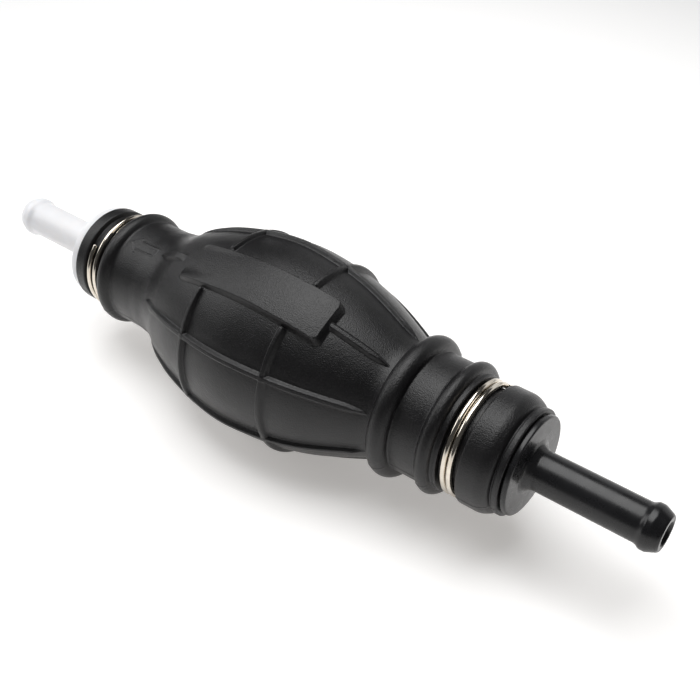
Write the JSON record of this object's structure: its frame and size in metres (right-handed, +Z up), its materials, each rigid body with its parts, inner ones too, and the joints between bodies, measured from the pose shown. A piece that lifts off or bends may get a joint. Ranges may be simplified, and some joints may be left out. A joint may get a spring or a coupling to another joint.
{
  "type": "siphon bulb pump",
  "caption": "Hand-squeezed rubber siphon bulb pump with a one-way valve and an 8 mm hose spigot at each end.",
  "frame": {"origin": "on the pump's axis, half way between the two spigot tips", "axes": "+X along the axis from the outlet spigot to the inlet spigot, +Z up as the pump lies on its two hoops, label plate rolled 22.5 degrees from +Z towards -Y"},
  "size_m": [0.1648, 0.042, 0.0427],
  "materials": {
    "black_rubber": "semi-matte black rubber with a fine pebble grain",
    "black_nylon": "glossy black nylon",
    "white_nylon": "milky white satin nylon",
    "valve_plastic": "natural acetal",
    "seal_rubber": "smooth nitrile rubber",
    "spring_steel": "stainless spring wire",
    "nickel_wire": "bright nickel-plated spring wire"
  },
  "bodies": {
    "pump_body": {"bulb": "black_rubber", "inlet_fitting": "black_nylon", "inlet_cage": "black_nylon", "inlet_spring": "spring_steel", "inlet_clamp": "nickel_wire", "outlet_fitting": "white_nylon", "outlet_seat": "white_nylon", "outlet_spring": "spring_steel", "outlet_clamp": "nickel_wire"},
    "inlet_valve": {"inlet_poppet": "valve_plastic", "inlet_poppet_seal": "seal_rubber"},
    "outlet_valve": {"outlet_poppet": "valve_plastic", "outlet_poppet_seal": "seal_rubber"}
  },
  "joints": [
    {"name": "inlet_valve_slide", "type": "slide", "parent": "pump_body", "child": "inlet_valve", "axis": [-1, 0, 0], "range_m": [0, 0.0018], "stiffness_N_per_m": 60, "springref_m": -0.001, "deforming": ["inlet_spring"]},
    {"name": "outlet_valve_slide", "type": "slide", "parent": "pump_body", "child": "outlet_valve", "axis": [-1, 0, 0], "range_m": [0, 0.0018], "stiffness_N_per_m": 60, "springref_m": -0.001, "deforming": ["outlet_spring"]}
  ]
}
